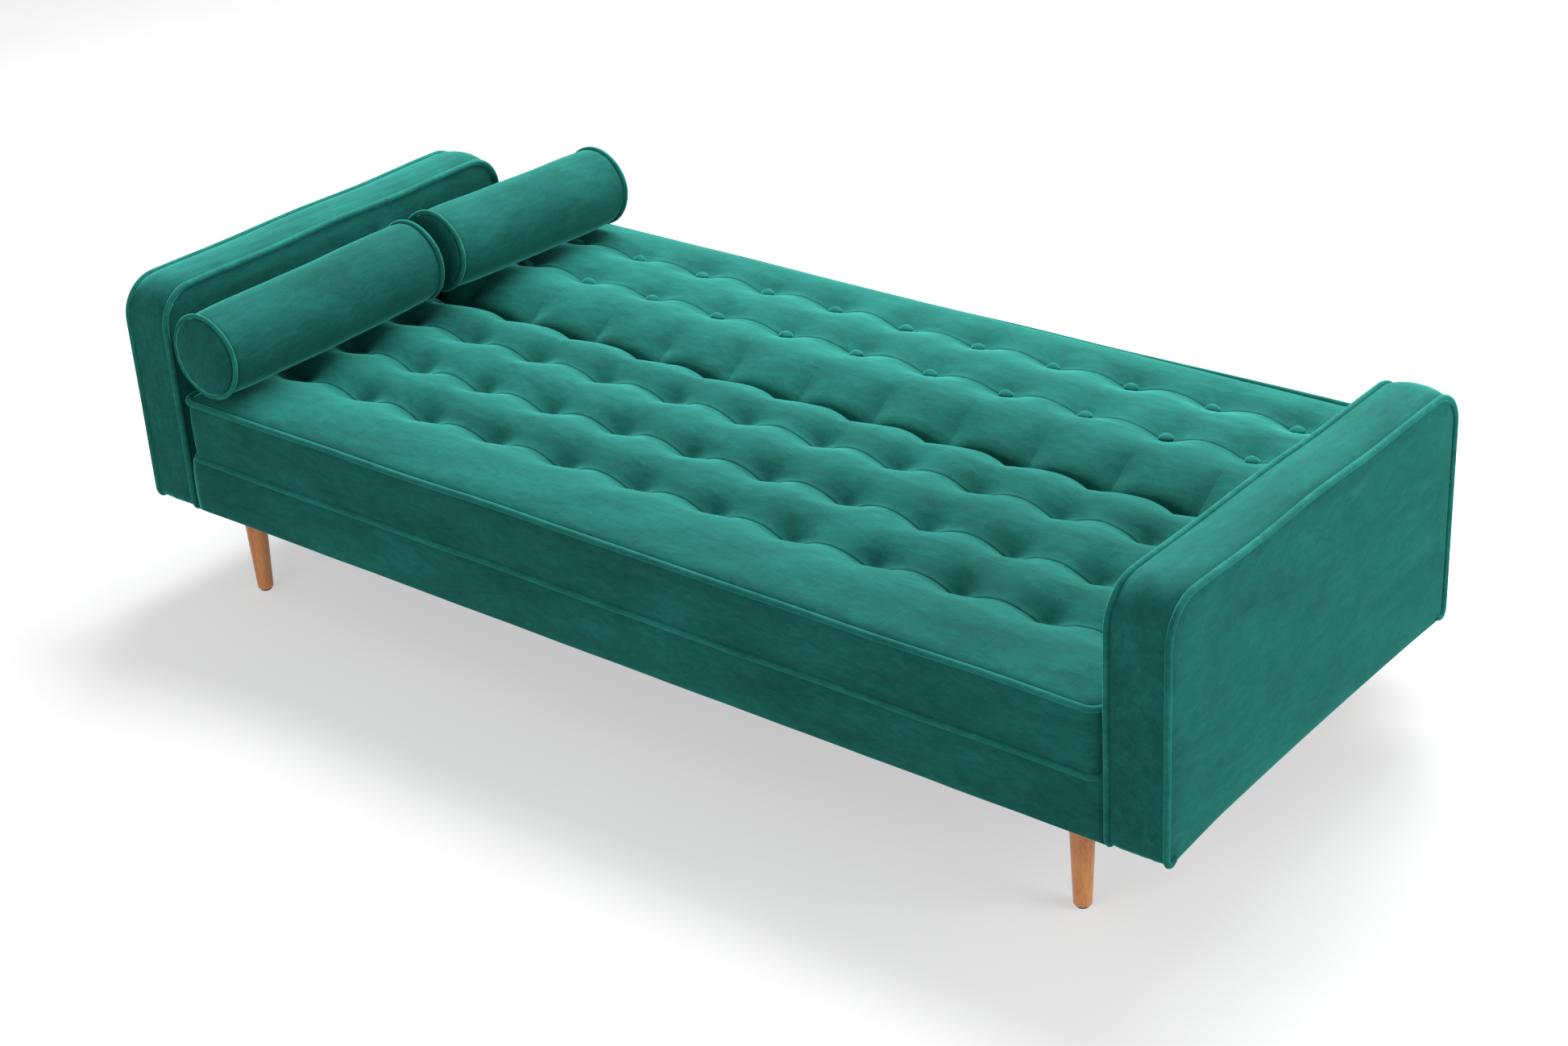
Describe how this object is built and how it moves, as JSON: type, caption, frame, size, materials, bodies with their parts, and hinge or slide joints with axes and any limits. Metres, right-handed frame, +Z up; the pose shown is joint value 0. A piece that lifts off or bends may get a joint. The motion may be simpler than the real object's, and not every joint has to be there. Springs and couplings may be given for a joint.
{
  "type": "sofa bed",
  "caption": "Click-clack sofa bed in its bed position: tufted seat and folded-flat tufted back between slab arms, with loose bolsters and round tapered wooden legs.",
  "frame": {"origin": "on the floor, under the middle of the bed", "axes": "+X from the left arm to the right arm as seen from the front, +Y from the front edge of the seat to the far edge of the folded back, +Z up"},
  "size_m": [2.018, 1.0182, 0.558],
  "materials": {
    "velvet": "emerald green velvet with a fine mottled nap",
    "velvet_piping": "bias-cut velvet over cord",
    "foam": "cream upholstery foam",
    "fibre_fill": "white polyester fibre",
    "softwood": "planed pine, unfinished",
    "slat_wood": "planed birch slats",
    "leg_wood": "honey-brown satin lacquer",
    "dust_cloth": "black non-woven polypropylene",
    "zinc_steel": "bright zinc plating",
    "hinge_steel": "black satin coating",
    "glide_plastic": "black moulded nylon"
  },
  "bodies": {
    "base": {"base_front_rail": "softwood", "base_middle_rail": "softwood", "base_rear_rail": "softwood", "base_side_rail_left": "softwood", "base_side_rail_right": "softwood", "base_corner_blocks": "softwood", "slat_battens": "softwood", "seat_slats": "slat_wood", "base_front_cover": "velvet", "base_rear_cover": "velvet", "dust_cloth": "dust_cloth", "leg_front_left": "leg_wood", "leg_front_right": "leg_wood", "leg_rear_left": "leg_wood", "leg_rear_right": "leg_wood", "leg_glides": "glide_plastic", "leg_plates": "zinc_steel", "leg_plate_screws": "zinc_steel", "leg_hanger_bolts": "zinc_steel", "arm_frame_left": "softwood", "arm_frame_right": "softwood", "arm_cover_left": "velvet", "arm_cover_right": "velvet", "arm_piping_left": "velvet_piping", "arm_piping_right": "velvet_piping", "arm_bolts": "zinc_steel", "arm_packing_washers": "zinc_steel", "seat_foam": "foam", "seat_cover": "velvet", "seat_piping": "velvet_piping", "seat_buttons": "velvet", "hinge_plate_left": "hinge_steel", "hinge_plate_right": "hinge_steel", "hinge_pivot_left": "zinc_steel", "hinge_pivot_right": "zinc_steel", "hinge_pawl_pins": "zinc_steel", "hinge_springs": "zinc_steel", "hinge_base_bolts": "zinc_steel"},
    "back": {"back_frame": "softwood", "back_foam": "foam", "back_cover": "velvet", "back_piping": "velvet_piping", "back_buttons": "velvet", "back_outer_panel": "velvet", "hinge_arm_left": "hinge_steel", "hinge_arm_right": "hinge_steel", "hinge_back_bolts": "zinc_steel"},
    "pawl_left": {"hinge_pawl_left": "hinge_steel"},
    "pawl_right": {"hinge_pawl_right": "hinge_steel"},
    "front_bolster": {"bolster_front_filling": "fibre_fill", "bolster_front_cover": "velvet", "bolster_front_piping": "velvet_piping"},
    "rear_bolster": {"bolster_rear_filling": "fibre_fill", "bolster_rear_cover": "velvet", "bolster_rear_piping": "velvet_piping"}
  },
  "joints": [
    {"name": "back_fold", "type": "hinge", "parent": "base", "child": "back", "pos_m": [0, 0.097, 0.364], "axis": [1, 0, 0], "range_deg": [0, 84]},
    {"name": "pawl_left_swing", "type": "hinge", "parent": "base", "child": "pawl_left", "pos_m": [-0.903, 0.057, 0.32], "axis": [1, 0, 0], "range_deg": [-8, 6], "stiffness_Nm_per_rad": 0.5},
    {"name": "pawl_right_swing", "type": "hinge", "parent": "base", "child": "pawl_right", "pos_m": [0.903, 0.057, 0.32], "axis": [1, 0, 0], "range_deg": [-8, 6], "stiffness_Nm_per_rad": 0.5},
    {"name": "front_bolster_slide", "type": "slide", "parent": "base", "child": "front_bolster", "axis": [1, 0, 0], "range_m": [0, 1.668]},
    {"name": "rear_bolster_slide", "type": "slide", "parent": "back", "child": "rear_bolster", "axis": [0, 0.9989, -0.0462], "range_m": [0, 0.25]}
  ],
  "couplings": [
    {"joint": "pawl_right_swing", "follows": "pawl_left_swing", "ratio": 1},
    {"joint": "rear_bolster_slide", "follows": "back_fold", "m_per_rad": 0.17}
  ]
}
